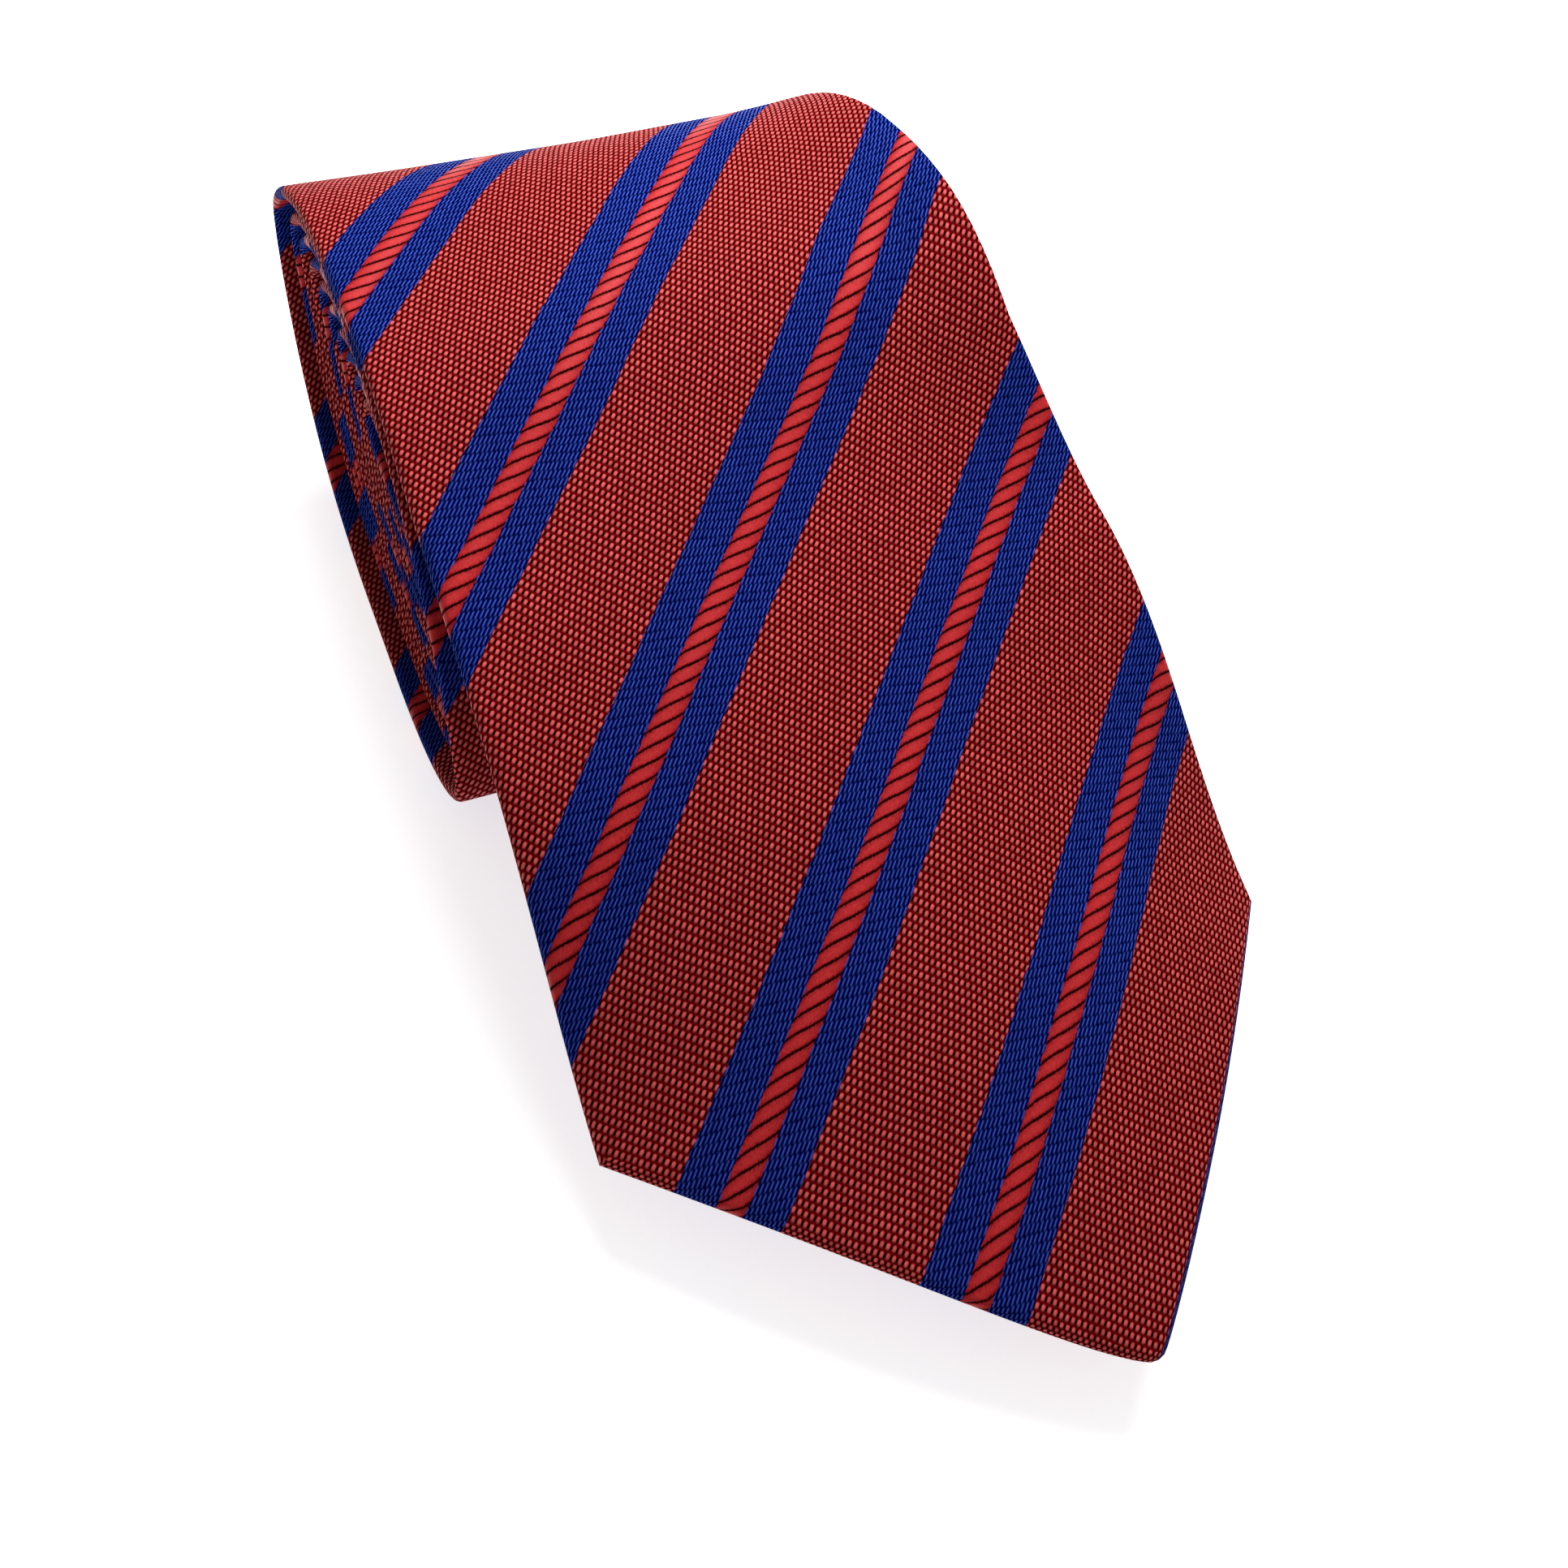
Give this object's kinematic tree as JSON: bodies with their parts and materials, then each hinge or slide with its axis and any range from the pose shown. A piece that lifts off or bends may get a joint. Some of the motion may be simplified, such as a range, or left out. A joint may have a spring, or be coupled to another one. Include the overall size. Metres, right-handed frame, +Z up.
{
  "type": "necktie",
  "caption": "Striped necktie rolled up from its narrow tail, its broad pointed front blade lying forward over the roll and able to lift off it.",
  "frame": {"origin": "on the surface that the tie lies on, under the middle of its box", "axes": "+X along the roll's axis, to the right when the tip points at the viewer; -Y towards the tip of the front blade; +Z up"},
  "size_m": [0.0886, 0.1788, 0.0542],
  "materials": {
    "cloth": "jacquard-woven red ground with royal blue stripes and a twisted red cord stripe",
    "interlining": "brushed off-white interlining",
    "lining": "plain blue satin lining",
    "thread": "matt sewing thread",
    "label": "blank woven label"
  },
  "bodies": {
    "roll": {"front_blade_rolled": "cloth", "neck_band": "cloth", "tail_blade": "cloth", "interlining_front": "interlining", "interlining_tail": "interlining", "tail_tipping": "lining", "keeper_loop": "cloth", "tail_bar_tack": "thread"},
    "front_lap": {"front_blade_lap": "cloth", "interlining_lap": "interlining", "front_tipping": "lining", "care_label": "label", "front_bar_tack": "thread", "slip_stitch": "thread"}
  },
  "joints": [
    {"name": "lap_lift", "type": "hinge", "parent": "roll", "child": "front_lap", "pos_m": [0, 0.0273, 0.0455], "axis": [-0.9976, 0.0192, -0.0671], "range_deg": [0, 105]}
  ]
}
